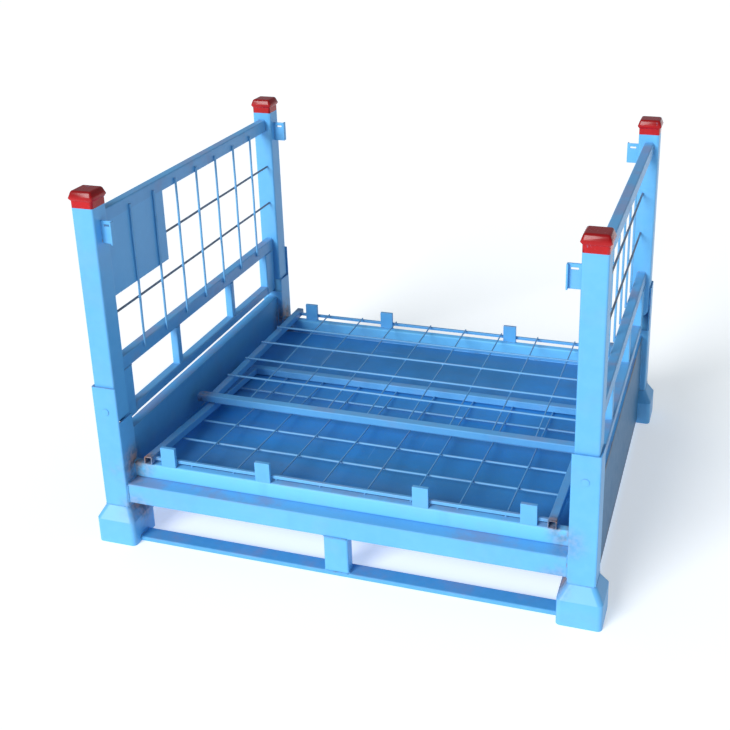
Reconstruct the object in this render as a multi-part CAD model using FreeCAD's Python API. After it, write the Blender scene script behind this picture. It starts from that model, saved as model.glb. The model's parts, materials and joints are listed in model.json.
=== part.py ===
import FreeCAD, Part
import math
import os

# Wire mesh container: a steel base, two end frames that fold inward, two loose gates.
# Millimetres. X runs along the long side, Y front (-) to back (+), Z up from the floor.
# The origin is the middle of the footprint on the floor.

# overall sizes
length_over_posts = 1200.0
width_over_posts = 1016.0
cap_height = 904.0

# end frame posts
post_size = 55.0
post_wall = 3.0
post_top = 864.0

# pivots of the end frames
pivot_height = 356.0
pivot_bolt_radius = 8.0
pivot_running_gap = 0.1
pivot_head_radius = 9.0
pivot_head_depth = 1.5

# sockets that hold the posts
socket_wall = 4.0
socket_side_gap = 0.5
socket_face_gap = 1.5
socket_top = 420.0
socket_inner_top = 328.0
socket_rear_top = 290.0

# feet
foot_size = 103.0
foot_skirt = 66.0
foot_height = 98.0
foot_wall = 4.0

# base rails
lower_rail_past_post = 8.0
lower_rail_bottom = 108.0
lower_rail_top = 160.0
upper_rail_depth = 23.0
upper_rail_top = 200.0
end_rail_width = 30.0
end_rail_bottom = 12.0
end_rail_top = 272.0
base_wall = 3.0
deck_top = 157.0
deck_thickness = 3.0

# skids and centre blocks that frame the fork pockets
skid_depth = 44.0
skid_bottom = 2.0
skid_top = 14.0
block_width = 60.0
block_depth = 30.0

# gate stops standing on the upper rails
stop_width = 38.0
stop_thickness = 10.0
stop_height = 51.0
stop_positions = (195.0, 445.0)

# end frame rails
frame_rail_depth = 25.0
frame_rail_wall = 2.5
frame_rail_reach = 11.0
top_rail_top = 842.0
top_rail_height = 35.0
mid_rail_top = 466.0
mid_rail_height = 36.0
low_rail_top = 325.0
low_rail_bottom = 299.0
stile_width = 57.0
strut_width = 20.0
strut_depth = 21.0
strut_offset = 161.0

# end frame mesh
mesh_wire = 6.0
mesh_weld = 0.1
upright_wire_count = 7
upright_wire_pitch = 111.0
upright_wire_lap = 16.0
level_wire_count = 2
level_wire_pitch = 115.0
level_wire_rise = 4.0

# label plate on the left end frame
label_reach = 278.0
label_bottom = 625.0
label_thickness = 2.0

# brackets that catch the gates
bracket_width = 32.0
bracket_height = 55.0
bracket_top = 831.0
bracket_thickness = 4.0
bracket_lip = 10.0
bracket_slot_length = 16.0
bracket_slot_height = 5.0
bracket_slot_drop = 9.0

# stacking caps
cap_lip_overhang = 4.5
cap_lip_bottom = 881.0
cap_lip_top = 892.0
cap_crown_size = 52.0
cap_wall = 4.0
cap_neck_overhang = 1.0
cap_lip_taper = 2.0

# gates
gate_tube = 20.0
gate_wall = 2.0
gate_rail_width = 25.0
gate_stile_offset = 498.0
gate_rail_end = 538.0
gate_rail_distance = 618.0
gate_bar = 8.0
gate_bar_distance = 20.0
gate_long_wire = 6.0
gate_long_count = 4
gate_long_pitch = 114.0
gate_cross_wire = 4.0
gate_cross_count = 8
gate_cross_pitch = 111.5
front_gate_overhang = 5.0
rear_gate_overhang = 25.5
rest_gap = 0.3

# how far a cutting shape runs past the face that it opens
cut_past = 1.0

half_length = length_over_posts / 2
half_width = width_over_posts / 2
post_x = half_length - post_size / 2
post_y = half_width - post_size / 2
post_inside_x = half_length - post_size
post_inside_y = half_width - post_size


def box(x0, x1, y0, y1, z0, z1):
    corner = FreeCAD.Vector(min(x0, x1), min(y0, y1), z0)
    return Part.makeBox(abs(x1 - x0), abs(y1 - y0), z1 - z0, corner)


def rod(start, end, radius):
    start = FreeCAD.Vector(*start)
    end = FreeCAD.Vector(*end)
    way = end - start
    return Part.makeCylinder(radius, way.Length, start, way)


def tube(x0, x1, y0, y1, z0, z1, wall, axis):
    # a rectangular tube, open at both ends along the named axis
    low = [min(x0, x1), min(y0, y1), z0]
    high = [max(x0, x1), max(y0, y1), z1]
    shell = box(low[0], high[0], low[1], high[1], low[2], high[2])
    run = "xyz".index(axis)
    for side in range(3):
        step = -cut_past if side == run else wall
        low[side] = low[side] + step
        high[side] = high[side] - step
    return shell.cut(box(low[0], high[0], low[1], high[1], low[2], high[2]))


def square(size, centre_x, centre_y, height):
    half = size / 2
    corners = []
    for sx, sy in ((-1, -1), (1, -1), (1, 1), (-1, 1), (-1, -1)):
        corners.append(FreeCAD.Vector(centre_x + sx * half, centre_y + sy * half, height))
    return Part.makePolygon(corners)


def frustum(size_low, size_high, centre_x, centre_y, low, high):
    lower = square(size_low, centre_x, centre_y, low)
    upper = square(size_high, centre_x, centre_y, high)
    return Part.makeLoft([lower, upper], True, True)


def mirror_y(shape):
    return shape.mirror(FreeCAD.Vector(0, 0, 0), FreeCAD.Vector(0, 1, 0))


def mirror_x(shape):
    return shape.mirror(FreeCAD.Vector(0, 0, 0), FreeCAD.Vector(1, 0, 0))


def group(shapes):
    return Part.makeCompound(shapes)


def fuse_all(shapes):
    whole = shapes[0]
    for shape in shapes[1:]:
        whole = whole.fuse(shape)
    return whole.removeSplitter()


nodes = {}

# corner pieces, drawn at the front left corner and mirrored

sleeve_x = post_size / 2 + socket_side_gap + socket_wall
sleeve_y = post_size / 2 + socket_face_gap + socket_wall
sleeve_back_y = -post_y + post_size / 2 + socket_side_gap + socket_wall
sleeve_front_y = -post_y - sleeve_y


def make_socket():
    # four walls, each stopping at its own height
    west = -post_x - sleeve_x
    east = -post_x + sleeve_x
    walls = box(west, east, sleeve_front_y, sleeve_back_y, foot_height, socket_top)
    hollow = box(
        west + socket_wall,
        east - socket_wall,
        sleeve_front_y + socket_wall,
        sleeve_back_y - socket_wall,
        foot_height - cut_past,
        socket_top + cut_past,
    )
    walls = walls.cut(hollow)
    high = socket_top + cut_past
    far = sleeve_back_y + cut_past
    back = sleeve_back_y - socket_wall - cut_past
    walls = walls.cut(box(west - cut_past, east + cut_past, back, far, socket_rear_top, high))
    side = east - socket_wall
    front = sleeve_front_y + socket_wall
    walls = walls.cut(box(side, east + cut_past, front, far, socket_inner_top, high))
    start = (-post_x, sleeve_front_y - cut_past, pivot_height)
    end = (-post_x, front + cut_past, pivot_height)
    return walls.cut(rod(start, end, pivot_bolt_radius))


def make_foot():
    centre_y = (sleeve_front_y + sleeve_back_y) / 2
    top_size = sleeve_back_y - sleeve_front_y
    skirt = box(
        -post_x - foot_size / 2,
        -post_x + foot_size / 2,
        centre_y - foot_size / 2,
        centre_y + foot_size / 2,
        0,
        foot_skirt,
    )
    flare = frustum(foot_size, top_size, -post_x, centre_y, foot_skirt, foot_height)
    inside = foot_size - 2 * foot_wall
    hollow = box(
        -post_x - inside / 2,
        -post_x + inside / 2,
        centre_y - inside / 2,
        centre_y + inside / 2,
        -cut_past,
        foot_skirt,
    )
    narrow = top_size - 2 * foot_wall
    taper = frustum(inside, narrow, -post_x, centre_y, foot_skirt, foot_height - foot_wall)
    return skirt.fuse(flare).removeSplitter().cut(hollow.fuse(taper))


def make_bolt():
    shank_end = -post_inside_y - rest_gap
    seat = (-post_x, sleeve_front_y, pivot_height)
    shank = rod(seat, (-post_x, shank_end, pivot_height), pivot_bolt_radius)
    head = rod((-post_x, sleeve_front_y - pivot_head_depth, pivot_height), seat, pivot_head_radius)
    return shank.fuse(head).removeSplitter()


def four_corners(shape):
    return [shape, mirror_x(shape), mirror_y(shape), mirror_x(mirror_y(shape))]


corner_names = ("front_left", "front_right", "rear_left", "rear_right")
for name, shape in zip(corner_names, four_corners(make_socket())):
    nodes[name + "_socket"] = shape
for name, shape in zip(corner_names, four_corners(make_foot())):
    nodes[name + "_foot"] = shape
nodes["pivot_bolts"] = group(four_corners(make_bolt()))

# base

rail_end = post_x - sleeve_x
lower_rail_front = half_width
lower_rail_back = post_inside_y - lower_rail_past_post
upper_rail_front = lower_rail_back + upper_rail_depth
foot_centre_y = -(sleeve_front_y + sleeve_back_y) / 2
foot_inner_x = post_x - foot_size / 2
foot_inner_y = foot_centre_y - foot_size / 2

lower_rail = tube(
    -rail_end,
    rail_end,
    -lower_rail_front,
    -lower_rail_back,
    lower_rail_bottom,
    lower_rail_top,
    base_wall,
    "x",
)
upper_rail = tube(
    -rail_end, rail_end, -upper_rail_front, -lower_rail_back, lower_rail_top, upper_rail_top, base_wall, "x"
)
skid_back = half_width - skid_depth
skid = box(-foot_inner_x, foot_inner_x, -half_width, -skid_back, skid_bottom, skid_top)
block = tube(
    -block_width / 2,
    block_width / 2,
    -half_width,
    -half_width + block_depth,
    skid_top,
    lower_rail_bottom,
    base_wall,
    "z",
)
stops = []
for place in stop_positions:
    for sign in (-1, 1):
        centre = sign * place
        back = -upper_rail_front + stop_thickness
        stop = box(
            centre - stop_width / 2,
            centre + stop_width / 2,
            -upper_rail_front,
            back,
            upper_rail_top,
            upper_rail_top + stop_height,
        )
        stops.append(stop)
stops = group(stops)

for name, shape in (
    ("lower_rail", lower_rail),
    ("upper_rail", upper_rail),
    ("skid", skid),
    ("centre_block", block),
    ("gate_stops", stops),
):
    nodes["front_" + name] = shape
    nodes["rear_" + name] = mirror_y(shape)

end_rail_inside = post_x - end_rail_width / 2
end_rail_outside = post_x + end_rail_width / 2
end_rail_reach = -sleeve_back_y
end_rail = box(
    -end_rail_outside, -end_rail_inside, -end_rail_reach, end_rail_reach, end_rail_bottom, end_rail_top
)
end_rail = end_rail.cut(
    box(
        -end_rail_outside + base_wall,
        -end_rail_inside - base_wall,
        -end_rail_reach - cut_past,
        end_rail_reach + cut_past,
        end_rail_bottom + base_wall,
        end_rail_top - base_wall,
    )
)
for sign in (-1, 1):
    near = sign * foot_inner_y
    far = sign * (end_rail_reach + cut_past)
    west = -end_rail_outside - cut_past
    east = -end_rail_inside + cut_past
    end_rail = end_rail.cut(box(west, east, near, far, end_rail_bottom - cut_past, foot_height))
nodes["left_end_rail"] = end_rail
nodes["right_end_rail"] = mirror_x(end_rail)

nodes["deck_sheet"] = box(
    -end_rail_inside, end_rail_inside, -lower_rail_back, lower_rail_back, deck_top - deck_thickness, deck_top
)

# end frames, drawn at the left and mirrored

rail_in_x = -post_x + frame_rail_reach
rail_out_x = rail_in_x - frame_rail_depth


def make_post():
    # the outer half of the lower end is rounded about the pivot so the post can turn in its socket
    turn_radius = post_size / 2
    centre = (-post_x, -half_width, pivot_height)
    other = (-post_x, -post_inside_y, pivot_height)
    body = box(-half_length, -post_inside_x, -half_width, -post_inside_y, pivot_height, post_top)
    heel = pivot_height - turn_radius
    square_half = box(-post_x, -post_inside_x, -half_width, -post_inside_y, heel, pivot_height)
    body = fuse_all([body, rod(centre, other, turn_radius), square_half])
    hollow = box(
        -half_length + post_wall,
        -post_inside_x - post_wall,
        -half_width + post_wall,
        -post_inside_y - post_wall,
        pivot_height,
        post_top + cut_past,
    )
    round_start = (-post_x, -half_width + post_wall, pivot_height)
    round_end = (-post_x, -post_inside_y - post_wall, pivot_height)
    square_hollow = box(
        -post_x,
        -post_inside_x - post_wall,
        -half_width + post_wall,
        -post_inside_y - post_wall,
        heel + post_wall,
        pivot_height,
    )
    body = body.cut(fuse_all([hollow, rod(round_start, round_end, turn_radius - post_wall), square_hollow]))
    bore_start = (-post_x, -half_width - cut_past, pivot_height)
    bore_end = (-post_x, -post_inside_y + cut_past, pivot_height)
    return body.cut(rod(bore_start, bore_end, pivot_bolt_radius + pivot_running_gap))


def make_cap():
    plain = box(-half_length, -post_inside_x, -half_width, -post_inside_y, post_top, cap_lip_bottom)
    lip_size = post_size + 2 * cap_lip_overhang
    lip_mid = (cap_lip_bottom + cap_lip_top) / 2
    neck_size = post_size + 2 * cap_neck_overhang
    shoulder_size = lip_size - 2 * cap_lip_taper
    under = frustum(neck_size, lip_size, -post_x, -post_y, cap_lip_bottom, lip_mid)
    over = frustum(lip_size, shoulder_size, -post_x, -post_y, lip_mid, cap_lip_top)
    crown = frustum(shoulder_size, cap_crown_size, -post_x, -post_y, cap_lip_top, cap_height)
    solid = fuse_all([plain, under, over, crown])
    hollow = box(
        -half_length + post_wall,
        -post_inside_x - post_wall,
        -half_width + post_wall,
        -post_inside_y - post_wall,
        post_top - cut_past,
        cap_lip_bottom,
    )
    narrow = cap_crown_size - cap_wall
    inside = post_size - 2 * post_wall
    taper = frustum(inside, narrow, -post_x, -post_y, cap_lip_bottom, cap_height - cap_wall)
    return solid.cut(hollow.fuse(taper))


def make_bracket():
    # a slotted plate beside the post with a small lip turned back along its outer edge
    plate = box(
        -post_inside_x,
        -post_inside_x + bracket_width,
        -post_y - bracket_thickness / 2,
        -post_y + bracket_thickness / 2,
        bracket_top - bracket_height,
        bracket_top,
    )
    edge = -post_inside_x + bracket_width
    lip = box(
        edge - bracket_thickness,
        edge,
        -post_y - bracket_thickness / 2 - bracket_lip,
        -post_y,
        bracket_top - bracket_height,
        bracket_top,
    )
    middle = -post_inside_x + bracket_width / 2
    slot_top = bracket_top - bracket_slot_drop
    slot = box(
        middle - bracket_slot_length / 2,
        middle + bracket_slot_length / 2,
        -post_y - bracket_thickness,
        -post_y + bracket_thickness,
        slot_top - bracket_slot_height,
        slot_top,
    )
    return plate.fuse(lip).removeSplitter().cut(slot)


def frame_tube(y0, y1, low, high, axis):
    return tube(rail_out_x, rail_in_x, y0, y1, low, high, frame_rail_wall, axis)


frame_nodes = {}
frame_nodes["front_post"] = make_post()
frame_nodes["rear_post"] = mirror_y(make_post())
frame_nodes["front_cap"] = make_cap()
frame_nodes["rear_cap"] = mirror_y(make_cap())
frame_nodes["gate_brackets"] = group([make_bracket(), mirror_y(make_bracket())])
top_rail_bottom = top_rail_top - top_rail_height
mid_rail_bottom = mid_rail_top - mid_rail_height
frame_nodes["top_rail"] = frame_tube(-post_inside_y, post_inside_y, top_rail_bottom, top_rail_top, "y")
frame_nodes["mid_rail"] = frame_tube(-post_inside_y, post_inside_y, mid_rail_bottom, mid_rail_top, "y")
stile_inside = post_inside_y - stile_width
frame_nodes["lower_rail"] = frame_tube(-stile_inside, stile_inside, low_rail_bottom, low_rail_top, "y")
stile = frame_tube(-post_inside_y, -stile_inside, low_rail_bottom, mid_rail_bottom, "z")
frame_nodes["end_stiles"] = group([stile, mirror_y(stile)])
struts = []
for sign in (-1, 1):
    centre = sign * strut_offset
    strut = tube(
        rail_in_x - strut_depth,
        rail_in_x,
        centre - strut_width / 2,
        centre + strut_width / 2,
        low_rail_top,
        mid_rail_bottom,
        frame_rail_wall,
        "z",
    )
    struts.append(strut)
frame_nodes["struts"] = group(struts)

upright_x = rail_in_x + mesh_wire / 2 - mesh_weld
level_x = upright_x - mesh_wire + mesh_weld
uprights = []
for index in range(upright_wire_count):
    place = (index - (upright_wire_count - 1) / 2) * upright_wire_pitch
    low = mid_rail_top - upright_wire_lap
    high = top_rail_bottom + upright_wire_lap
    uprights.append(rod((upright_x, place, low), (upright_x, place, high), mesh_wire / 2))
frame_nodes["upright_wires"] = group(uprights)
for name, shape in frame_nodes.items():
    nodes["left_frame_" + name] = shape
    nodes["right_frame_" + name] = mirror_x(shape)

# the plate lies behind the upright wires, and a level wire at its height starts at its edge
label_x = rail_in_x - mesh_weld
label_edge = -post_inside_y + label_reach
nodes["left_frame_label_plate"] = box(
    label_x - label_thickness, label_x, -post_inside_y, label_edge, label_bottom, top_rail_bottom
)
left_levels = []
right_levels = []
level_middle = (mid_rail_top + top_rail_bottom) / 2 + level_wire_rise
for index in range(level_wire_count):
    height = level_middle + (index - (level_wire_count - 1) / 2) * level_wire_pitch
    beside_label = height + mesh_wire / 2 > label_bottom
    left_start = label_edge if beside_label else -post_inside_y
    end = (level_x, post_inside_y, height)
    left_levels.append(rod((level_x, left_start, height), end, mesh_wire / 2))
    right_levels.append(mirror_x(rod((level_x, -post_inside_y, height), end, mesh_wire / 2)))
nodes["left_frame_level_wires"] = group(left_levels)
nodes["right_frame_level_wires"] = group(right_levels)

# gates, drawn flat with the mesh side up, then laid in place


def make_gate():
    parts = {}
    stile_end = gate_rail_distance - gate_rail_width / 2
    stiles = []
    for sign in (-1, 1):
        centre = sign * gate_stile_offset
        west = centre - gate_tube / 2
        east = centre + gate_tube / 2
        stiles.append(tube(west, east, 0, stile_end, 0, gate_tube, gate_wall, "y"))
    parts["stiles"] = group(stiles)
    rail_far = stile_end + gate_rail_width
    parts["top_rail"] = tube(
        -gate_rail_end, gate_rail_end, stile_end, rail_far, 0, gate_tube, gate_wall, "x"
    )
    bar_end = gate_stile_offset - gate_tube / 2
    bar_low = (gate_tube - gate_bar) / 2
    parts["bottom_bar"] = box(
        -bar_end,
        bar_end,
        gate_bar_distance - gate_bar / 2,
        gate_bar_distance + gate_bar / 2,
        bar_low,
        bar_low + gate_bar,
    )
    long_height = gate_tube + gate_long_wire / 2 - mesh_weld
    reach = gate_stile_offset + gate_tube / 2
    long_wires = []
    for index in range(gate_long_count):
        place = gate_rail_distance - (index + 1) * gate_long_pitch
        start = (-reach, place, long_height)
        end = (reach, place, long_height)
        long_wires.append(rod(start, end, gate_long_wire / 2))
    parts["long_wires"] = group(long_wires)
    cross_height = long_height - gate_long_wire / 2 - gate_cross_wire / 2 + mesh_weld
    cross_wires = []
    for index in range(gate_cross_count):
        place = (index - (gate_cross_count - 1) / 2) * gate_cross_pitch
        start = (place, gate_bar_distance, cross_height)
        end = (place, stile_end, cross_height)
        wire = rod(start, end, gate_cross_wire / 2)
        cross_wires.append(wire.cut(parts["bottom_bar"]))
    parts["cross_wires"] = group(cross_wires)
    return parts


front_gate_edge = upper_rail_front + front_gate_overhang
rear_gate_edge = upper_rail_front + rear_gate_overhang
gate_reach = gate_rail_distance + gate_rail_width / 2
drop = upper_rail_top - deck_top
edge_rise = (front_gate_edge - lower_rail_back) * drop / gate_reach
lean_line = FreeCAD.Vector(0, gate_reach, drop + edge_rise)
lean_angle = math.degrees(lean_line.getAngle(FreeCAD.Vector(0, 1, 0)))

for name, shape in make_gate().items():
    # the rear gate lies level, mesh side up, its lower edge to the back
    rear = shape.copy()
    rear.rotate(FreeCAD.Vector(0, 0, 0), FreeCAD.Vector(0, 0, 1), 180)
    rear.translate(FreeCAD.Vector(0, rear_gate_edge, upper_rail_top + rest_gap))
    nodes["rear_gate_" + name] = rear
    # the front gate lies mesh side down, its upper edge resting on the deck
    front = shape.copy()
    front.translate(FreeCAD.Vector(0, 0, -gate_tube))
    front.rotate(FreeCAD.Vector(0, 0, 0), FreeCAD.Vector(0, 1, 0), 180)
    front.rotate(FreeCAD.Vector(0, 0, 0), FreeCAD.Vector(1, 0, 0), -lean_angle)
    lift = upper_rail_top + rest_gap + edge_rise
    front.translate(FreeCAD.Vector(0, -front_gate_edge, lift))
    nodes["front_gate_" + name] = front

os.makedirs("parts", exist_ok=True)
for name, shape in nodes.items():
    shape.exportStep("parts/" + name + ".step")
    print(name, round(shape.Volume), len(shape.Solids))
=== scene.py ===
import json
import math
import bmesh
import bpy
from mathutils import Matrix, Vector, geometry, noise


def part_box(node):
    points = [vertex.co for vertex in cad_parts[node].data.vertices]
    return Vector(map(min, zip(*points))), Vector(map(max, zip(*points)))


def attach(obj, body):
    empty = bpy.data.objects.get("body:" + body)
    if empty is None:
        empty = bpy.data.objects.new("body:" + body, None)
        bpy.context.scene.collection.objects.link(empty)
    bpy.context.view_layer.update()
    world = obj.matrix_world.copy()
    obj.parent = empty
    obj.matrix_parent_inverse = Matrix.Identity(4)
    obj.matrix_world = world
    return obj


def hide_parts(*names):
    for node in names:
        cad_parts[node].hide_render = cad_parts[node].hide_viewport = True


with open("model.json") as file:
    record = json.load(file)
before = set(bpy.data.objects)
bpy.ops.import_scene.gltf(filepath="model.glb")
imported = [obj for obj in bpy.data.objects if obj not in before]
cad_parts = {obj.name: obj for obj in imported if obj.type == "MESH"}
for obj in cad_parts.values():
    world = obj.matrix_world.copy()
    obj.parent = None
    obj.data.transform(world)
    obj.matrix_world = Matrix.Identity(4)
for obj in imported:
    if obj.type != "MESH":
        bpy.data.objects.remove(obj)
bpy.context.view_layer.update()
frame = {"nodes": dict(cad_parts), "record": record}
cadNodes = frame["nodes"]
record = frame["record"]
bodyOf = {node: body for body, group in record["behaviour"]["bodies"].items() for node in group}
slotOf = {row["node"]: row["material_slot"] for row in record["subparts"]}
millimetre = 0.001
corners = ("front_left", "front_right", "rear_left", "rear_right")
print("frame loaded:", len(cadNodes), "nodes")


# the camera, the light and the floor

cameraSettings = {
    "place": (0.846, -2.545, 1.617),
    "turn": (69.57, 1.01, 17.46),
    "lens": 55.0,
    "shift": (-0.059, -0.147),
}
lightSettings = {
    "sunTurn": (63.0, 0.0, -22.0),
    "sunPower": 2.95,
    "sunSpread": 30.0,
    "skyColour": (0.80, 0.92, 1.0, 1.0),
    "skyPower": 0.33,
    "view": "Standard",
}
floorSettings = {
    "reach": 40.0,
    "colour": (0.86, 0.87, 0.88, 1.0),
    "patch": (0.78, 0.79, 0.80, 1.0),
    "roughness": 0.9,
    "glow": 0.50,
}


def addCamera(settings):
    lens = bpy.data.cameras.new("camera")
    lens.lens = settings["lens"]
    lens.shift_x, lens.shift_y = settings["shift"]
    lens.clip_end = 100.0
    camera = bpy.data.objects.new("camera", lens)
    camera.location = settings["place"]
    camera.rotation_euler = [math.radians(angle) for angle in settings["turn"]]
    bpy.context.scene.collection.objects.link(camera)
    bpy.context.scene.camera = camera


def addLight(settings):
    lamp = bpy.data.lights.new("sun", "SUN")
    lamp.energy = settings["sunPower"]
    lamp.angle = math.radians(settings["sunSpread"])
    sun = bpy.data.objects.new("sun", lamp)
    sun.rotation_euler = [math.radians(angle) for angle in settings["sunTurn"]]
    bpy.context.scene.collection.objects.link(sun)
    world = bpy.data.worlds.new("studio")
    world.use_nodes = True
    sky = world.node_tree.nodes["Background"]
    sky.inputs["Color"].default_value = settings["skyColour"]
    sky.inputs["Strength"].default_value = settings["skyPower"]
    bpy.context.scene.world = world
    bpy.context.scene.view_settings.view_transform = settings["view"]


addCamera(cameraSettings)
addLight(lightSettings)
print("camera and light placed")


# shader helpers

class Signal:
    # an output socket that can stand in a sum like a number
    def __init__(self, finish, socket):
        self.finish = finish
        self.socket = socket

    def maths(self, operation, first, second, clamp=False):
        settings = {"operation": operation, "use_clamp": clamp}
        return self.finish.add("ShaderNodeMath", settings, {0: first, 1: second})

    def __add__(self, other):
        return self.maths("ADD", self, other)

    def __radd__(self, other):
        return self.maths("ADD", other, self)

    def __sub__(self, other):
        return self.maths("SUBTRACT", self, other)

    def __rsub__(self, other):
        return self.maths("SUBTRACT", other, self)

    def __mul__(self, other):
        return self.maths("MULTIPLY", self, other)

    def __rmul__(self, other):
        return self.maths("MULTIPLY", other, self)

    def clamped(self):
        return self.maths("ADD", self, 0.0, clamp=True)

    def larger(self, other):
        return self.maths("MAXIMUM", self, other)

    def between(self, low, high):
        # 0 below low, 1 above high and a smooth rise between them
        settings = {"interpolation_type": "SMOOTHSTEP"}
        return self.finish.add("ShaderNodeMapRange", settings, {0: self, 1: low, 2: high})


class Finish:
    # one material and the nodes that make it
    def __init__(self, name):
        self.material = bpy.data.materials.new(name)
        self.material.use_nodes = True
        self.tree = self.material.node_tree
        self.tree.nodes.clear()
        self.place = self.add("ShaderNodeTexCoord", output="Object")
        self.facing = self.add("ShaderNodeTexCoord", output="Normal")

    def add(self, kind, settings=None, inputs=None, output=0):
        node = self.tree.nodes.new(kind)
        for name, value in (settings or {}).items():
            setattr(node, name, value)
        for key, value in (inputs or {}).items():
            if isinstance(value, Signal):
                self.tree.links.new(value.socket, node.inputs[key])
            else:
                node.inputs[key].default_value = value
        return Signal(self, node.outputs[output]) if len(node.outputs) else None

    def grain(self, scale, detail=3.0, stretch=(1.0, 1.0, 1.0), shift=(0.0, 0.0, 0.0), rough=0.5):
        at = self.add("ShaderNodeMapping", None, {"Vector": self.place, "Location": shift, "Scale": stretch})
        inputs = {"Vector": at, "Scale": scale, "Detail": detail, "Roughness": rough}
        return self.add("ShaderNodeTexNoise", None, inputs)

    def mixed(self, amount, first, second):
        return self.add("ShaderNodeMix", {"data_type": "RGBA"}, {0: amount, 6: first, 7: second}, 2)

    def near(self, spot, reach):
        # 1 at the spot, falling to 0 at the reach
        away = self.add("ShaderNodeVectorMath", {"operation": "DISTANCE"}, {0: self.place, 1: spot}, "Value")
        return 1.0 - away.between(0.0, reach)

    def edges(self, radius):
        # 1 on a sharp edge or in a corner, 0 on a flat face
        soft = self.add("ShaderNodeBevel", {"samples": 4}, {"Radius": radius})
        flat = self.add("ShaderNodeNewGeometry", output="Normal")
        same = self.add("ShaderNodeVectorMath", {"operation": "DOT_PRODUCT"}, {0: soft, 1: flat}, "Value")
        return (1.0 - same).between(0.02, 0.22)

    def close(self, values):
        shader = self.add("ShaderNodeBsdfPrincipled", None, values)
        self.add("ShaderNodeOutputMaterial", None, {"Surface": shader})
        return self.material


# finishes

rustDark = (0.085, 0.038, 0.02, 1.0)
rustLight = (0.42, 0.19, 0.075, 1.0)
steelGrey = (0.20, 0.20, 0.23, 1.0)

paintSettings = {
    "base": {
        "colour": (0.125, 0.45, 0.83, 1.0), "deep": (0.075, 0.35, 0.74, 1.0),
        "wornTop": 0.62, "wornSide": 0.10, "rust": 0.55, "chips": 0.45,
    },
    "skid": {
        "colour": (0.085, 0.37, 0.70, 1.0), "deep": (0.07, 0.30, 0.58, 1.0),
        "wornTop": 0.55, "wornSide": 0.15, "rust": 0.65, "chips": 0.6,
    },
    "endRail": {
        "colour": (0.12, 0.43, 0.78, 1.0), "deep": (0.09, 0.36, 0.69, 1.0),
        "wornTop": 0.60, "wornSide": 0.12, "rust": 0.60, "chips": 0.6, "shine": 0.08,
    },
    # painted light: a lighter copy of the base paint, so the upper rails' fronts come out as bright as the
    # lower rails' though less light reaches them
    "upperRail": {
        "colour": (0.17, 0.58, 0.95, 1.0), "deep": (0.13, 0.51, 0.90, 1.0),
        "wornTop": 0.55, "wornSide": 0.10, "rust": 0.55, "chips": 0.45,
    },
    "frame": {
        "colour": (0.125, 0.45, 0.82, 1.0), "deep": (0.08, 0.36, 0.74, 1.0),
        "wornTop": 0.65, "wornSide": 0.10, "rust": 0.40, "chips": 0.45,
    },
    "rail": {
        "colour": (0.115, 0.40, 0.76, 1.0), "deep": (0.075, 0.31, 0.64, 1.0),
        "wornTop": 0.70, "wornSide": 0.42, "rust": 0.45, "chips": 0.5,
    },
    "gate": {
        "colour": (0.12, 0.42, 0.78, 1.0), "deep": (0.08, 0.32, 0.66, 1.0),
        "wornTop": 0.42, "wornSide": 0.20, "rust": 0.60, "chips": 0.6,
    },
    "wire": {
        "colour": (0.14, 0.42, 0.74, 1.0), "deep": (0.09, 0.30, 0.58, 1.0),
        "wornTop": 0.40, "wornSide": 0.20, "rust": 0.50, "chips": 0.5,
    },
    # painted shade: the level wires are painted dark grey-blue for the shade they sit in, and the brown deep
    # tone is rust
    "shadedRustyLevelWire": {
        "colour": (0.12, 0.15, 0.21, 1.0), "deep": (0.10, 0.085, 0.08, 1.0),
        "wornTop": 0.30, "wornSide": 0.20, "rust": 0.55, "chips": 0.4,
    },
    "weld": {
        "colour": (0.12, 0.40, 0.74, 1.0), "deep": (0.08, 0.30, 0.62, 1.0),
        "wornTop": 0.30, "wornSide": 0.15, "rust": 0.60, "chips": 0.5,
    },
}
wornColour = (0.27, 0.31, 0.50, 1.0)
dirtColour = (0.11, 0.095, 0.095, 1.0)
# painted shade: the dark blue that faces looking out of the container are darkened towards
outwardShadeColour = (0.045, 0.17, 0.34, 1.0)
fleckColour = (0.20, 0.55, 0.90, 1.0)
streakColour = (0.07, 0.27, 0.58, 1.0)
# dull sets the strength of the painted shade on outward faces; dirt and rubbedDirt set the dirt bands
shadeAndDirtSettings = {"dull": 0.9, "dirt": 0.35, "rubbedDirt": 0.6}


def shadeOutsideAndDirtBands(finish, colour, rub, bands):
    # painted shade: faces that look out of the container are darkened, with dirt along level lines on them
    across = finish.add("ShaderNodeSeparateXYZ", None, {0: finish.place}, "X")
    looks = finish.add("ShaderNodeSeparateXYZ", None, {0: finish.facing}, "X")
    height = finish.add("ShaderNodeSeparateXYZ", None, {0: finish.place}, "Z")
    outside = (across * looks).between(0.2, 0.45)
    colour = finish.mixed(outside * shadeAndDirtSettings["dull"], colour, outwardShadeColour)
    strength = shadeAndDirtSettings["dirt"] + rub * shadeAndDirtSettings["rubbedDirt"]
    for level, reach in bands:
        away = (height - level).larger(level - height)
        dirt = (1.0 - away.between(0.2 * reach, reach)) * strength * outside
        colour = finish.mixed(dirt.clamped(), colour, dirtColour)
    return colour


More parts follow.
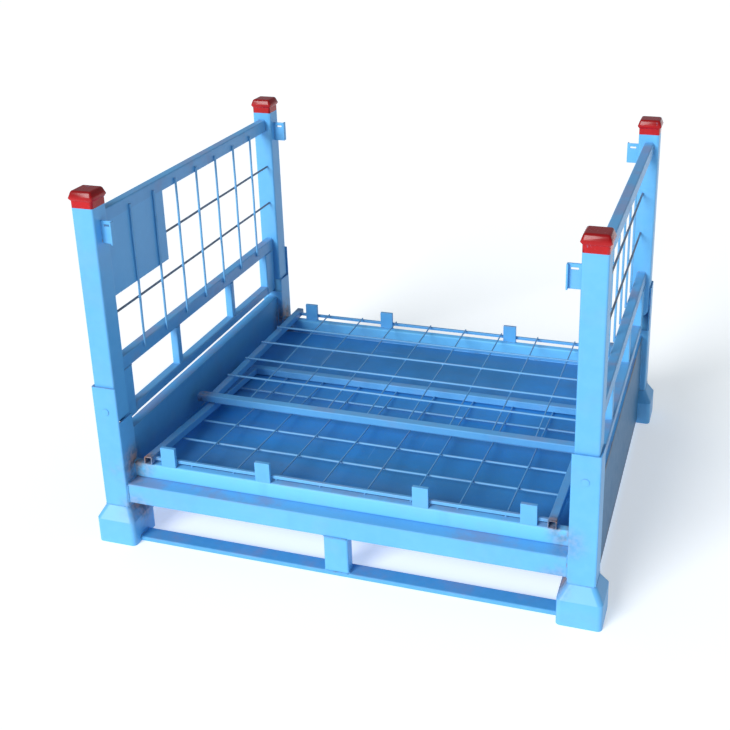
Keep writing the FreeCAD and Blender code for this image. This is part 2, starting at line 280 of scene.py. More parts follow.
def bluePaint(name, settings, spots=(), bands=()):
    # blue enamel: cloudy tone, scuffed upper faces, chipped edges, rust at the given spots
    finish = Finish(name)
    cloud = finish.grain(3.1, 4.0).between(0.38, 0.72)
    fleck = finish.grain(46.0, 5.0, shift=(3.0, 1.0, 7.0))
    up = finish.add("ShaderNodeSeparateXYZ", None, {0: finish.facing}, "Z").between(0.5, 0.95)
    rub = finish.grain(17.0, 6.0, stretch=(0.5, 0.5, 1.0), rough=0.62).between(0.44, 0.66)
    smear = finish.grain(9.0, 5.0, shift=(1.0, 8.0, 3.0), rough=0.6).between(0.50, 0.70)
    colour = finish.mixed(cloud * 0.35, settings["colour"], settings["deep"])
    colour = finish.mixed(fleck.between(0.35, 0.75) * 0.14, colour, fleckColour)
    sides = 1.0 - up
    scuffed = (up * rub * settings["wornTop"] + sides * smear * settings["wornSide"]).clamped()
    colour = finish.mixed(scuffed, colour, wornColour)
    streak = finish.grain(14.0, 4.0, stretch=(1.0, 1.0, 0.12), shift=(0.0, 5.0, 0.0)).between(0.60, 0.78)
    colour = finish.mixed(streak * sides * 0.20, colour, streakColour)
    edge = finish.edges(3.0 * millimetre)
    chip = (edge * finish.grain(95.0, 5.0, rough=0.7).between(0.48, 0.60) * settings["chips"]).clamped()
    colour = finish.mixed(chip, colour, steelGrey)
    # where bands are given, faces that look out of the container get painted shade, and dirt bands along the
    # given levels
    if bands:
        colour = shadeOutsideAndDirtBands(finish, colour, rub, bands)
    blotch = finish.grain(24.0, 3.0, shift=(9.0, 4.0, 2.0), rough=0.55)
    rust = blotch.between(0.64, 0.74) * edge
    for spot, reach in spots:
        rust = rust.larger(finish.near(spot, reach) * blotch.between(0.24, 0.56))
    rust = (rust * settings["rust"] * 1.5).clamped()
    rustColour = finish.mixed(finish.grain(90.0, 4.0).between(0.35, 0.65), rustDark, rustLight)
    colour = finish.mixed(rust, colour, rustColour)
    roughness = 0.30 + fleck * 0.16 + scuffed * 0.28 + rust * 0.40 + chip * 0.1
    peel = finish.grain(620.0, 2.0)
    relief = peel * 0.10 + fleck * 0.55 + rust * finish.grain(330.0, 5.0) * 1.3 - chip * 0.5
    inputs = {"Strength": 0.55, "Distance": 0.45 * millimetre, "Height": relief}
    bump = finish.add("ShaderNodeBump", None, inputs)
    values = {"Base Color": colour, "Roughness": roughness.clamped(), "Normal": bump}
    values.update({"Metallic": chip * 0.4, "Specular IOR Level": settings.get("shine", 0.45)})
    return finish.close(values)


deckSettings = {
    "clean": (0.028, 0.30, 0.78, 1.0),
    "dull": (0.032, 0.20, 0.45, 1.0),
    "dust": (0.16, 0.27, 0.42, 1.0),
    "scratch": (0.20, 0.44, 0.76, 1.0),
}


def deckPaint(settings):
    # darker enamel on the deck, dulled by dirt, with long drag marks
    finish = Finish("deckPaint")
    cloud = finish.grain(2.3, 5.0, rough=0.6).between(0.35, 0.68)
    drag = finish.grain(7.0, 5.0, stretch=(0.16, 1.0, 1.0), shift=(2.0, 0.0, 0.0), rough=0.65)
    drag = drag.between(0.40, 0.72)
    grit = finish.grain(130.0, 5.0, rough=0.7)
    scratchLong = finish.grain(60.0, 3.0, stretch=(0.05, 1.4, 1.0), rough=0.6).between(0.70, 0.75)
    scratchCross = finish.grain(55.0, 3.0, stretch=(1.3, 0.05, 1.0), shift=(0.0, 3.0, 0.0))
    scratchCross = scratchCross.between(0.71, 0.76)
    colour = finish.mixed(cloud * 0.8, settings["clean"], settings["dull"])
    colour = finish.mixed(drag * 0.30, colour, settings["dust"])
    colour = finish.mixed(grit.between(0.52, 0.75) * 0.25, colour, settings["dust"])
    scratch = scratchLong.larger(scratchCross * 0.8)
    colour = finish.mixed((scratch * 0.55).clamped(), colour, settings["scratch"])
    stain = finish.grain(9.0, 6.0, shift=(6.0, 2.0, 0.0), rough=0.6).between(0.66, 0.80) * 0.35
    colour = finish.mixed(stain, colour, rustDark)
    roughness = 0.34 + cloud * 0.14 + drag * 0.22 + grit * 0.12
    relief = grit * 0.35 + scratch * -0.5 + finish.grain(9.0, 3.0) * 2.2
    inputs = {"Strength": 0.5, "Distance": 0.5 * millimetre, "Height": relief}
    bump = finish.add("ShaderNodeBump", None, inputs)
    return finish.close({"Base Color": colour, "Roughness": roughness.clamped(), "Normal": bump})


redSettings = {
    "colour": (0.50, 0.008, 0.012, 1.0),
    "deep": (0.34, 0.006, 0.009, 1.0),
    "crown": (0.22, 0.002, 0.003, 1.0),
    "rubbed": (0.13, 0.20, 0.34, 1.0),
}


def redPaint(settings):
    # glossy red over the blue, deeper on the crown, rubbed through where stacked feet land
    finish = Finish("redPaint")
    cloud = finish.grain(22.0, 4.0).between(0.35, 0.70)
    fleck = finish.grain(160.0, 4.0, rough=0.65)
    edge = finish.edges(2.0 * millimetre)
    colour = finish.mixed(cloud * 0.6, settings["colour"], settings["deep"])
    height = finish.add("ShaderNodeSeparateXYZ", None, {0: finish.place}, "Z")
    low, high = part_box("left_frame_front_cap")
    crown = height.between(low.z + 0.45 * (high.z - low.z), high.z - 0.1 * (high.z - low.z))
    colour = finish.mixed(crown * 0.8, colour, settings["crown"])
    chip = (edge * finish.grain(110.0, 5.0, rough=0.7).between(0.50, 0.60)).clamped()
    scar = finish.grain(70.0, 5.0, stretch=(1.0, 0.35, 1.0), rough=0.7).between(0.64, 0.72)
    rubbed = (chip * 0.65).larger(scar * 0.7)
    colour = finish.mixed(rubbed, colour, settings["rubbed"])
    roughness = 0.20 + fleck * 0.12 + rubbed * 0.30
    relief = fleck * 0.4 + finish.grain(34.0, 3.0) * 1.2 - rubbed * 0.6
    inputs = {"Strength": 0.5, "Distance": 0.5 * millimetre, "Height": relief}
    bump = finish.add("ShaderNodeBump", None, inputs)
    values = {"Base Color": colour, "Roughness": roughness.clamped(), "Normal": bump}
    values.update({"Coat Weight": 0.10, "Coat Roughness": 0.12, "Specular IOR Level": 0.25})
    return finish.close(values)


def floorFinish(settings):
    finish = Finish("floorFinish")
    tone = finish.grain(0.7, 3.0) * 0.06
    colour = finish.mixed(tone, settings["colour"], settings["patch"])
    values = {"Base Color": colour, "Roughness": settings["roughness"]}
    values.update({"Emission Color": colour, "Emission Strength": settings["glow"]})
    return finish.close(values)


# reaches are metres, the others place a spot past a corner or below a rail
spotSettings = {
    "footReach": 0.075, "footPast": 1.06, "footDrop": 0.02,
    "railReach": 0.06, "railPast": 0.985,
    "faceReach": 0.075, "tubeReach": 0.05,
}


def cornerSpots(settings):
    # where water sits and the paint fails first: each socket's inner corner by the rails
    spots = []
    for corner in corners:
        end = corner.split("_")[0]
        low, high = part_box(corner + "_socket")
        footLow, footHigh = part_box(corner + "_foot")
        railLow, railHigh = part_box(end + "_lower_rail")
        upperLow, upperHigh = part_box(end + "_upper_rail")
        inward = high.x if high.x < 0 else low.x
        hidden = high.y if high.y < 0 else low.y
        side = footHigh.x if high.x < 0 else footLow.x
        face = upperLow.y if high.y < 0 else upperHigh.y
        under = (side, hidden * settings["footPast"], railLow.z - settings["footDrop"])
        spots.append((under, settings["footReach"]))
        spots.append(((inward, hidden * settings["railPast"], railHigh.z), settings["railReach"]))
        spots.append(((inward, face, upperHigh.z), settings["faceReach"]))
    return spots


def gateSpots(gate, reach):
    # the open ends of a gate's tubes
    low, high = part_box(gate + "_gate_top_rail")
    middle = (low + high) / 2
    spots = [(low.x, middle.y, middle.z), (high.x, middle.y, middle.z)]
    low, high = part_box(gate + "_gate_stiles")
    end = low.y if gate == "front" else high.y
    tall = high.z if gate == "front" else low.z
    spots += [(low.x, end, tall), (high.x, end, tall)]
    return [(spot, reach) for spot in spots]


cornerRust = cornerSpots(spotSettings)
tubeReach = spotSettings["tubeReach"]
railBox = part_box("left_end_rail")
railBands = ((railBox[0].z, 0.030), (railBox[1].z, 0.022))
finishes = {
    "base": bluePaint("basePaint", paintSettings["base"], cornerRust),
    "skid": bluePaint("skidPaint", paintSettings["skid"], cornerRust),
    # the upper rails take the lighter paint as painted light
    "upperRail": bluePaint("upperRailLitPaint", paintSettings["upperRail"], cornerRust),
    # the end rails carry painted shade on their outward faces, plus dirt bands
    "endRail": bluePaint("endRailPaint", paintSettings["endRail"], cornerRust, railBands),
    "frame": bluePaint("framePaint", paintSettings["frame"]),
    "rail": bluePaint("railPaint", paintSettings["rail"]),
    "frontGate": bluePaint("frontGatePaint", paintSettings["gate"], gateSpots("front", tubeReach)),
    "rearGate": bluePaint("rearGatePaint", paintSettings["gate"], gateSpots("rear", tubeReach)),
    "wire": bluePaint("wirePaint", paintSettings["wire"]),
    # the level wires' dark paint is painted shade mixed with rust
    "shadedRustyLevelWire": bluePaint("shadedRustyLevelWirePaint", paintSettings["shadedRustyLevelWire"]),
    "weld": bluePaint("weldPaint", paintSettings["weld"]),
    "deck": deckPaint(deckSettings),
    "red": redPaint(redSettings),
}
slotFinishes = {"red_paint": "red", "deck_paint": "deck", "wire_paint": "wire"}
bodyFinishes = {"base": "base", "front_gate": "frontGate", "rear_gate": "rearGate"}
nodeFinishes = {
    "skid": "skid", "end_rail": "endRail", "upper_rail": "upperRail", "level_wires": "shadedRustyLevelWire",
    "frame_top_rail": "rail", "frame_mid_rail": "rail", "frame_lower_rail": "rail",
}
print("finishes mixed:", len(finishes))


def finishFor(node):
    # by the end of the name, then by the material slot, then by the body
    for ending, chosen in nodeFinishes.items():
        if node.endswith(ending):
            return finishes[chosen]
    if slotOf[node] in slotFinishes:
        return finishes[slotFinishes[slotOf[node]]]
    return finishes[bodyFinishes.get(bodyOf[node], "frame")]


# shaping helpers

shapeSettings = {
    "merge": 0.002 * millimetre,
    "flat": 1.0,
    "sharp": 40.0,
    "shade": 34.0,
    "broad": 0.0006,  # a face larger than this, in square metres, is shaded flat
    "straight": 0.999,
}


def meshOf(node):
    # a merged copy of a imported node, with its flat faces whole
    work = bmesh.new()
    work.from_mesh(cadNodes[node].data)
    bmesh.ops.remove_doubles(work, verts=work.verts, dist=shapeSettings["merge"])
    limit = math.radians(shapeSettings["flat"])
    bmesh.ops.dissolve_limit(work, angle_limit=limit, verts=work.verts, edges=work.edges)
    return work


def islands(work):
    # the separate solids of a mesh, as lists of vertices
    left = set(work.verts)
    found = []
    while left:
        stack = [left.pop()]
        island = []
        while stack:
            vert = stack.pop()
            island.append(vert)
            for edge in vert.link_edges:
                other = edge.other_vert(vert)
                if other in left:
                    left.remove(other)
                    stack.append(other)
        found.append(island)
    return found


def cornersOf(verts):
    low = Vector([min(vert.co[axis] for vert in verts) for axis in range(3)])
    high = Vector([max(vert.co[axis] for vert in verts) for axis in range(3)])
    return low, high


def solidBoxes(node):
    work = meshOf(node)
    boxes = [cornersOf(island) for island in islands(work)]
    work.free()
    return sorted(boxes, key=lambda pair: tuple(pair[0]))


def roundEdges(work, radius, segments, chosen):
    limit = math.radians(shapeSettings["sharp"])
    picked = []
    for edge in work.edges:
        sharp = len(edge.link_faces) == 2 and edge.calc_face_angle() >= limit
        if sharp and chosen(edge):
            picked.append(edge)
    bmesh.ops.bevel(
        work, geom=picked, offset=radius, offset_type="OFFSET", segments=segments,
        profile=0.5, affect="EDGES", material=-1, clamp_overlap=True,
    )


def addPiece(work, name, body, finish, replaced=()):
    mesh = bpy.data.meshes.new(name)
    work.to_mesh(mesh)
    work.free()
    mesh.shade_smooth()
    mesh.set_sharp_from_angle(angle=math.radians(shapeSettings["shade"]))
    for face in mesh.polygons:
        face.use_smooth = face.area < shapeSettings["broad"]
    mesh.materials.append(finish)
    piece = bpy.data.objects.new(name, mesh)
    bpy.context.scene.collection.objects.link(piece)
    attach(piece, body)
    if replaced:
        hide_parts(*replaced)


def keepPiece(work, node):
    # a reshaped node, on its own body and in its own slot
    addPiece(work, node + ".steel", bodyOf[node], finishFor(node), [node])


def alongAxis(edge, axis):
    way = edge.verts[1].co - edge.verts[0].co
    return way.length > 0 and abs(way[axis]) / way.length > shapeSettings["straight"]


# rolled tubes: long corners rounded, the bore's corners too

tubeSettings = {
    "top_rail": {"axis": 1, "outer": 3.5, "inner": 1.2},
    "mid_rail": {"axis": 1, "outer": 3.5, "inner": 1.2},
    "lower_rail": {"axis": 1, "outer": 3.5, "inner": 1.2},
    "end_stiles": {"axis": 2, "outer": 3.0, "inner": 0.8},
    "struts": {"axis": 2, "outer": 2.5, "inner": 0.6},
    "gate_rail": {"axis": 0, "outer": 2.5, "inner": 0.8},
    "gate_stiles": {"axis": 1, "outer": 2.5, "inner": 0.8},
    "base_rail": {"axis": 0, "outer": 4.0, "inner": 1.5},
    "block": {"axis": 2, "outer": 4.0, "inner": 1.5},
    "outerSegments": 3,
    "innerSegments": 2,
    "lengthwise": 0.9,
}


def rollTube(node, settings):
    # convex corners along the tube are outside, the others are in its bore
    work = meshOf(node)
    axis = settings["axis"]

    def lengthwise(edge):
        way = (edge.verts[1].co - edge.verts[0].co).normalized()
        return abs(way[axis]) > tubeSettings["lengthwise"]

    inner, outer = settings["inner"] * millimetre, settings["outer"] * millimetre
    innerSegments, outerSegments = tubeSettings["innerSegments"], tubeSettings["outerSegments"]
    roundEdges(work, inner, innerSegments, lambda edge: lengthwise(edge) and not edge.is_convex)
    roundEdges(work, outer, outerSegments, lambda edge: lengthwise(edge) and edge.is_convex)
    keepPiece(work, node)


for side in ("left", "right"):
    for part in ("top_rail", "mid_rail", "lower_rail", "end_stiles", "struts"):
        rollTube(f"{side}_frame_{part}", tubeSettings[part])
for gate in ("front", "rear"):
    rollTube(f"{gate}_gate_top_rail", tubeSettings["gate_rail"])
    rollTube(f"{gate}_gate_stiles", tubeSettings["gate_stiles"])
    for part in ("lower_rail", "upper_rail", "skid"):
        rollTube(f"{gate}_{part}", tubeSettings["base_rail"])
    rollTube(f"{gate}_centre_block", tubeSettings["block"])
print("tubes rolled")


# posts, sockets, feet, caps and the small plates

plateSettings = {
    "post": {"radius": 5.0, "segments": 4},
    "socket": {"radius": 4.0, "segments": 3, "rim": 0.8, "rimSegments": 2, "rimAbove": 100.0},
    "foot": {"radius": 11.0, "segments": 6},
    "cap": {
        "crown": 6.5, "corner": 5.0, "segments": 5, "rise": 12.5, "top": 10.0,
        "neck": 1.2, "neckSegments": 2,
    },
    "endRail": {"radius": 4.0, "segments": 3},
    "stop": {"radius": 0.7, "segments": 3},
    "bracket": {"radius": 1.0, "segments": 2},
    "label": {"radius": 0.6, "segments": 2, "tuck": 5.0},
    "bar": {"radius": 0.9, "segments": 2},
    "bolt": {"radius": 1.2, "segments": 3},
}


def makePost(node, settings):
    work = meshOf(node)
    low, high = cornersOf(work.verts)
    pivot = Vector(((low.x + high.x) / 2, 0.0, low.z + (high.x - low.x) / 2))

    def onSkin(edge):
        # the four long corners and the round of the lower end, not the bore or the inside
        for vert in edge.verts:
            if min(abs(vert.co.y - low.y), abs(vert.co.y - high.y)) > millimetre:
                return False
            across = Vector((vert.co.x - pivot.x, 0.0, min(0.0, vert.co.z - pivot.z)))
            if across.length < (high.x - low.x) / 2 - millimetre:
                return False
        return not (edge.verts[0].co.z > high.z - millimetre and edge.verts[1].co.z > high.z - millimetre)

    roundEdges(work, settings["radius"] * millimetre, settings["segments"], onSkin)
    keepPiece(work, node)


def makeSocket(node, settings):
    work = meshOf(node)
    low, high = cornersOf(work.verts)

    def onCorner(edge):
        middle = (edge.verts[0].co + edge.verts[1].co) / 2
        for axis in (0, 1):
            if min(abs(middle[axis] - low[axis]), abs(middle[axis] - high[axis])) >= millimetre:
                return False
        return alongAxis(edge, 2)

    def onRim(edge):
        level = low.z + settings["rimAbove"] * millimetre
        return edge.is_convex and min(vert.co.z for vert in edge.verts) > level

    roundEdges(work, settings["radius"] * millimetre, settings["segments"], onCorner)
    roundEdges(work, settings["rim"] * millimetre, settings["rimSegments"], onRim)
    keepPiece(work, node)


def makeFoot(node, settings):
    work = meshOf(node)
    low, high = cornersOf(work.verts)

    def pressed(edge):
        heights = [vert.co.z for vert in edge.verts]
        flatTop = min(heights) > high.z - millimetre
        return edge.is_convex and not flatTop and max(heights) > low.z + millimetre

    roundEdges(work, settings["radius"] * millimetre, settings["segments"], pressed)
    keepPiece(work, node)


def makeCap(node, settings):
    # the crown is well rounded, the lip and the neck only a little
    work = meshOf(node)
    low, high = cornersOf(work.verts)
    lip = (low.z + high.z) / 2

    def onCrown(edge):
        heights = [vert.co.z for vert in edge.verts]
        shoulder = high.z - settings["rise"] * millimetre
        return edge.is_convex and min(heights) > shoulder and max(heights) > high.z - millimetre

    def onCorner(edge):
        # the upright and slanted corners of the neck and the lip
        heights = [vert.co.z for vert in edge.verts]
        below = max(heights) < high.z - settings["top"] * millimetre
        return edge.is_convex and below and max(heights) - min(heights) > millimetre

    def onNeck(edge):
        heights = [vert.co.z for vert in edge.verts]
        return edge.is_convex and max(heights) > low.z + millimetre and min(heights) < lip + millimetre

    roundEdges(work, settings["corner"] * millimetre, settings["segments"], onCorner)
    roundEdges(work, settings["neck"] * millimetre, settings["neckSegments"], onNeck)
    roundEdges(work, settings["crown"] * millimetre, settings["segments"], onCrown)
    keepPiece(work, node)


def outward(edge):
    return edge.is_convex


def outwardAlongY(edge):
    return edge.is_convex and alongAxis(edge, 1)


def makePlate(node, settings, chosen=outward):
    work = meshOf(node)
    roundEdges(work, settings["radius"] * millimetre, settings["segments"], chosen)
    keepPiece(work, node)


def makeLabel(node, settings):
    # the plate's upper and outer edges tuck behind the rail and the post
    work = meshOf(node)
    low, high = cornersOf(work.verts)
    for vert in work.verts:
        if vert.co.z > high.z - millimetre:
            vert.co.z += settings["tuck"] * millimetre
        if vert.co.y < low.y + millimetre:
            vert.co.y -= settings["tuck"] * millimetre
    roundEdges(work, settings["radius"] * millimetre, settings["segments"], outward)
    keepPiece(work, node)


for side in ("left", "right"):
    for end in ("front", "rear"):
        makePost(f"{side}_frame_{end}_post", plateSettings["post"])
        makeCap(f"{side}_frame_{end}_cap", plateSettings["cap"])
    makePlate(f"{side}_frame_gate_brackets", plateSettings["bracket"])
    makePlate(f"{side}_end_rail", plateSettings["endRail"], outwardAlongY)
for corner in corners:
    makeSocket(corner + "_socket", plateSettings["socket"])
    makeFoot(corner + "_foot", plateSettings["foot"])
for end in ("front", "rear"):
    makePlate(end + "_gate_stops", plateSettings["stop"])
    makePlate(end + "_gate_bottom_bar", plateSettings["bar"])
makeLabel("left_frame_label_plate", plateSettings["label"])
makePlate("pivot_bolts", plateSettings["bolt"])
print("posts, sockets, feet and plates shaped")


# the deck: a thin sheet, a little slack between its welds

sheetSettings = {"columns": 56, "rows": 45, "slack": 1.6, "wave": 3.2, "hem": 0.12}


def makeDeck(settings):
    low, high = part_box("deck_sheet")
    work = bmesh.new()
    size = high - low
    place = Matrix.Translation((low + high) / 2) @ Matrix.Diagonal((size.x / 2, size.y / 2, 1.0, 1.0))
    columns, rows = settings["columns"], settings["rows"]
    bmesh.ops.create_grid(work, x_segments=columns, y_segments=rows, size=1.0, matrix=place)
    for vert in work.verts:
        inX = min(vert.co.x - low.x, high.x - vert.co.x) / (settings["hem"] * size.x)
        inY = min(vert.co.y - low.y, high.y - vert.co.y) / (settings["hem"] * size.y)
        hold = max(0.0, min(1.0, inX)) * max(0.0, min(1.0, inY))
        wave = 0.5 + 0.5 * noise.noise(Vector((vert.co.x, vert.co.y, 0.3)) * settings["wave"])
        vert.co.z = high.z - hold * wave * settings["slack"] * millimetre
    bmesh.ops.recalc_face_normals(work, faces=work.faces)
    if work.faces[:][0].normal.z < 0:
        bmesh.ops.reverse_faces(work, faces=work.faces)
    bmesh.ops.solidify(work, geom=work.faces[:], thickness=size.z)
    bmesh.ops.recalc_face_normals(work, faces=work.faces)
    keepPiece(work, "deck_sheet")


makeDeck(sheetSettings)
print("deck laid")


# wires

wireSettings = {"sides": 12, "step": 34.0, "wander": 1.1, "nugget": 1.14}


def axisOf(verts):
    # a rod's two end centres and its radius, from the rings at its ends
    low, high = cornersOf(verts)
    size = high - low
    run = max(range(3), key=lambda axis: size[axis])
    middle = (low[run] + high[run]) / 2
    ends = []
    for keep in (lambda value: value < middle, lambda value: value >= middle):
        ring = [vert.co for vert in verts if keep(vert.co[run])]
        ends.append(sum(ring, Vector()) / len(ring))
    radius = max((vert.co - ends[0]).length for vert in verts if vert.co[run] < middle)
    return ends[0], ends[1], min(radius, min(size[axis] for axis in range(3)) / 2 + millimetre)


def rodsIn(node):
    work = meshOf(node)
    rods = [axisOf(island) for island in islands(work)]
    work.free()
    return sorted(rods, key=lambda rod: tuple(rod[0]))


def drawRod(start, end, radius, steps, sides, offset, swell):
    # a ring pushed along in steps, each one shifted and swollen by the two given functions
    work = bmesh.new()
    way = end - start
    turn = way.to_track_quat("Z", "Y").to_matrix().to_4x4()
    first = bmesh.ops.create_circle(work, cap_ends=True, segments=sides, radius=radius * swell(0.0))
    bmesh.ops.transform(work, matrix=Matrix.Translation(start + offset(0.0)) @ turn, verts=first["verts"])
    cap = work.faces[:][0]
    for step in range(1, steps + 1):
        grown = bmesh.ops.extrude_face_region(work, geom=[cap])["geom"]
        ring = [item for item in grown if isinstance(item, bmesh.types.BMVert)]
        cap = [item for item in grown if isinstance(item, bmesh.types.BMFace)][0]
        here, before = step / steps, (step - 1) / steps
        centre = start + way * before + offset(before)
        grow = swell(here) / swell(before)
        bmesh.ops.scale(work, vec=(grow, grow, grow), space=Matrix.Translation(-centre), verts=ring)
        bmesh.ops.translate(work, vec=way / steps + offset(here) - offset(before), verts=ring)
    bmesh.ops.recalc_face_normals(work, faces=work.faces)
    return work


def joinInto(total, work):
    loose = bpy.data.meshes.new("loose")
    work.to_mesh(loose)
    work.free()
    total.from_mesh(loose)
    bpy.data.meshes.remove(loose)


def makeWires(node, across, settings):
    # wires wander a little in the plane of the mesh
    total = bmesh.new()
    for count, (start, end, radius) in enumerate(rodsIn(node)):
        length = (end - start).length
        steps = max(4, round(length / (settings["step"] * millimetre)))

        def offset(share, count=count):
            hold = math.sin(math.pi * share)
            drift = noise.noise(Vector((share * 3.1, count * 1.7, len(node) * 0.37)))
            return across * (hold * drift * settings["wander"] * millimetre * 2)

        joinInto(total, drawRod(start, end, radius, steps, settings["sides"], offset, lambda share: 1.0))
    keepPiece(total, node)


for side in ("left", "right"):
    makeWires(f"{side}_frame_upright_wires", Vector((0, 1, 0)), wireSettings)
    makeWires(f"{side}_frame_level_wires", Vector((0, 0, 1)), wireSettings)
for gate in ("front", "rear"):
    makeWires(f"{gate}_gate_long_wires", Vector((0, 1, 0)), wireSettings)
    makeWires(f"{gate}_gate_cross_wires", Vector((1, 0, 0)), wireSettings)
print("wires drawn")


# welds

weldSettings = {
    "pitch": 2.6, "sides": 8, "ripple": 0.13, "rough": 0.22, "inset": 1.5,
    "shortest": 6.0, "taper": 16.0, "lump": 0.14, "rodInset": 7.0, "rodSink": 0.8,
    "levelEnd": 1.3, "barEnd": 5.4, "bracketThickness": 4.0, "stitches": 6, "stitchLength": 34,
}
beadSizes = {
    "crossRail": 2.4, "bottomRail": 2.0, "stile": 2.0, "strut": 1.9, "bracket": 1.6, "gateStile": 1.8,
    "lowerRail": 2.8, "upperRail": 2.6, "skid": 2.4, "block": 2.4, "gateStop": 1.8,
    "endRailSide": 2.6, "endRailTop": 2.4, "socket": 1.2, "deck": 2.2,
}


def addBead(total, start, end, size):
    # overlapping ripples along a seam
    way = end - start
    length = way.length
    if length < weldSettings["shortest"] * millimetre:
        return
    margin = way.normalized() * weldSettings["inset"] * millimetre
    start = start + margin
    end = end - margin
    steps = max(4, round(length / (weldSettings["pitch"] * millimetre) * 2))
    seed = start * 37.0

    def swell(share):
        nearer = min(share, 1.0 - share) * length
        taper = min(1.0, 0.35 + 4.0 * nearer / (weldSettings["taper"] * millimetre))
        ripple = weldSettings["ripple"] * math.cos(math.pi * share * steps)
        lumps = weldSettings["rough"] * noise.noise(seed + Vector((share * length * 160, 0, 0)))
        return taper * (1.0 + ripple + lumps)

    def offset(share):
        return Vector((0, 0, 0))

    joinInto(total, drawRod(start, end, size * millimetre, steps, weldSettings["sides"], offset, swell))


def weldEnd(total, box, axis, atHigh, size, sides=(0, 1, 2, 3)):
    # beads round the end of a bar with the given box, where it meets what it butts on
    low, high = box
    level = high[axis] if atHigh else low[axis]
    first, second = [side for side in range(3) if side != axis]
    ring = []
    for one, two in ((low, low), (high, low), (high, high), (low, high)):
        point = Vector((0, 0, 0))
        point[axis], point[first], point[second] = level, one[first], two[second]
        ring.append(point)
    for side in sides:
        addBead(total, ring[side], ring[(side + 1) % 4], size)


def addNugget(total, place, radius, flat):
    # a squeezed spot weld
    work = bmesh.new()
    bmesh.ops.create_icosphere(work, subdivisions=2, radius=radius)
    bmesh.ops.scale(work, vec=flat, verts=work.verts)
    for vert in work.verts:
        lump = 1.0 + weldSettings["lump"] * noise.noise(vert.co * 420.0 + place * 31.0)
        vert.co = place + vert.co * lump
    joinInto(total, work)


def weldCrossings(total, firstNode, secondNode, settings):
    for startA, endA, radiusA in rodsIn(firstNode):
        for startB, endB, radiusB in rodsIn(secondNode):
            meeting = geometry.intersect_line_line(startA, endA, startB, endB)
            if meeting is None or (meeting[0] - meeting[1]).length > radiusA + radiusB + 0.5 * millimetre:
                continue
            onA = 0 < (meeting[0] - startA).dot(endA - startA) < (endA - startA).length_squared
            onB = 0 < (meeting[1] - startB).dot(endB - startB) < (endB - startB).length_squared
            if onA and onB:
                addNugget(total, (meeting[0] + meeting[1]) / 2, radiusA * settings["nugget"], (1.0, 1.0, 0.9))


def weldRodEnds(total, node, back, settings):
    # back points from the wire to the rail that it lies on
    inset = weldSettings["rodInset"] * millimetre
    for start, end, radius in rodsIn(node):
        way = (end - start).normalized()
        for point, inward in ((start, way), (end, -way)):
            place = point + inward * inset + back * radius * weldSettings["rodSink"]
            addNugget(total, place, radius * settings["nugget"], (1.0, 1.0, 1.0))


def weldFrame(side):
    total = bmesh.new()
    name = f"{side}_frame_"
    inward = Vector((1, 0, 0)) if side == "left" else Vector((-1, 0, 0))
    for part in ("top_rail", "mid_rail"):
        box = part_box(name + part)
        for atHigh in (False, True):
            weldEnd(total, box, 1, atHigh, beadSizes["crossRail"])
    for atHigh in (False, True):
        weldEnd(total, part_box(name + "lower_rail"), 1, atHigh, beadSizes["bottomRail"], (1, 3))
    for box in solidBoxes(name + "end_stiles"):
        weldEnd(total, box, 2, True, beadSizes["stile"])
    for box in solidBoxes(name + "struts"):
        weldEnd(total, box, 2, True, beadSizes["strut"])
        weldEnd(total, box, 2, False, beadSizes["strut"])
    for low, high in solidBoxes(name + "gate_brackets"):
        post = low.x if side == "left" else high.x
        plate = high.y if high.y < 0 else low.y
        thickness = weldSettings["bracketThickness"] * millimetre
        for y in (plate, plate - thickness if high.y < 0 else plate + thickness):
            addBead(total, Vector((post, y, low.z)), Vector((post, y, high.z)), beadSizes["bracket"])
    weldRodEnds(total, name + "upright_wires", -inward, wireSettings)
    weldCrossings(total, name + "upright_wires", name + "level_wires", wireSettings)
    for start, end, radius in rodsIn(name + "level_wires"):
        for point in (start, end):
            addNugget(total, point, radius * weldSettings["levelEnd"], (1.0, 0.7, 1.0))
    addPiece(total, side + "_frame_welds", side + "_end_frame", finishes["weld"])


def weldGate(gate):
    total = bmesh.new()
    name = f"{gate}_gate_"
    weldCrossings(total, name + "long_wires", name + "cross_wires", wireSettings)
    down = Vector((0, 0, 1)) if gate == "front" else Vector((0, 0, -1))
    weldRodEnds(total, name + "long_wires", down, wireSettings)
    if gate == "rear":
        for low, high in solidBoxes(name + "stiles"):
            for x in (low.x, high.x):
                seam = Vector((x, low.y, low.z)), Vector((x, low.y, high.z))
                addBead(total, *seam, beadSizes["gateStile"])
    barLow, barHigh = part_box(name + "bottom_bar")
    middle = (barLow + barHigh) / 2
    for x in (barLow.x, barHigh.x):
        radius = weldSettings["barEnd"] * millimetre
        addNugget(total, Vector((x, middle.y, middle.z)), radius, (0.5, 1.0, 1.0))
    addPiece(total, gate + "_gate_welds", gate + "_gate", finishes["weld"])


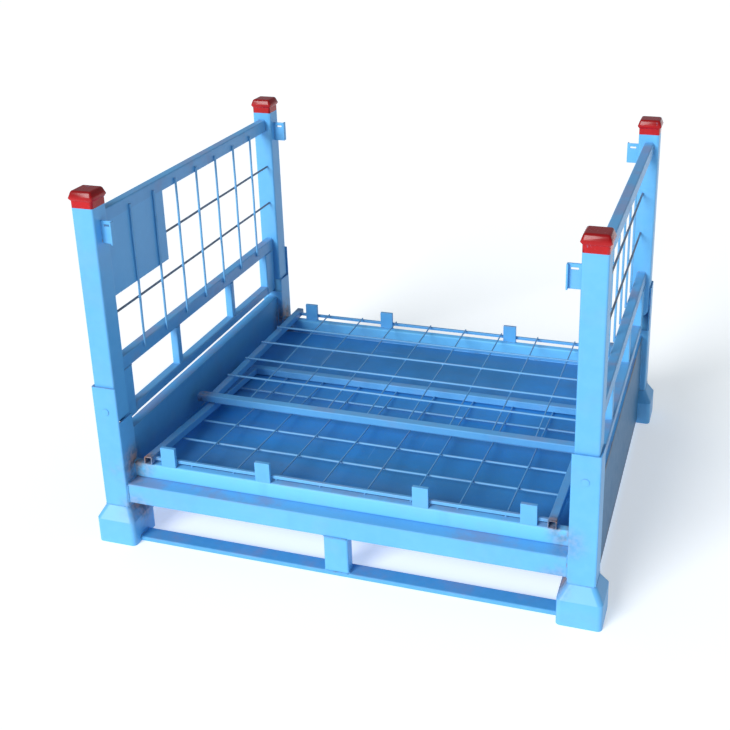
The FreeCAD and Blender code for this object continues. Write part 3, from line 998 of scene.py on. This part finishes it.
def weldBase():
    total = bmesh.new()
    for end in ("front", "rear"):
        for part, size in (("lower_rail", "lowerRail"), ("upper_rail", "upperRail")):
            for atHigh in (False, True):
                weldEnd(total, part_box(f"{end}_{part}"), 0, atHigh, beadSizes[size])
        for atHigh in (False, True):
            weldEnd(total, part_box(end + "_skid"), 0, atHigh, beadSizes["skid"], (2,))
            weldEnd(total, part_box(end + "_centre_block"), 2, atHigh, beadSizes["block"])
        for box in solidBoxes(end + "_gate_stops"):
            back = 2 if end == "front" else 0
            weldEnd(total, box, 2, False, beadSizes["gateStop"], (back, 1, 3))
    for side in ("left", "right"):
        low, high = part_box(side + "_end_rail")
        for end in ("front", "rear"):
            y = low.y if end == "front" else high.y
            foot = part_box(f"{end}_{side}_foot")[1].z
            for x in (low.x, high.x):
                seam = Vector((x, y, foot)), Vector((x, y, high.z))
                addBead(total, *seam, beadSizes["endRailSide"])
            seam = Vector((low.x, y, high.z)), Vector((high.x, y, high.z))
            addBead(total, *seam, beadSizes["endRailTop"])
    for corner in corners:
        weldEnd(total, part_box(corner + "_socket"), 2, False, beadSizes["socket"])
    deckLow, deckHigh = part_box("deck_sheet")
    stitches, length = weldSettings["stitches"], weldSettings["stitchLength"] * millimetre
    for count in range(stitches):
        share = (count + 0.5) / stitches
        x = deckLow.x + share * (deckHigh.x - deckLow.x)
        y = deckLow.y + share * (deckHigh.y - deckLow.y)
        alongX, alongY = Vector((length / 2, 0, 0)), Vector((0, length / 2, 0))
        for edge in (deckLow.y, deckHigh.y):
            middle = Vector((x, edge, deckHigh.z))
            addBead(total, middle - alongX, middle + alongX, beadSizes["deck"])
        for edge in (deckLow.x, deckHigh.x):
            middle = Vector((edge, y, deckHigh.z))
            addBead(total, middle - alongY, middle + alongY, beadSizes["deck"])
    addPiece(total, "base_welds", "base", finishes["weld"])


weldBase()
for side in ("left", "right"):
    weldFrame(side)
for gate in ("front", "rear"):
    weldGate(gate)
print("welds run")


# the floor

def addFloor(settings):
    work = bmesh.new()
    bmesh.ops.create_circle(work, cap_ends=True, segments=64, radius=settings["reach"])
    mesh = bpy.data.meshes.new("floor")
    work.to_mesh(mesh)
    work.free()
    mesh.materials.append(floorFinish(settings))
    floor = bpy.data.objects.new("floor", mesh)
    bpy.context.scene.collection.objects.link(floor)


addFloor(floorSettings)
print("floor laid")

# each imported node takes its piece's finish
for name, node in cadNodes.items():
    node.data.materials.clear()
    node.data.materials.append(finishFor(name))
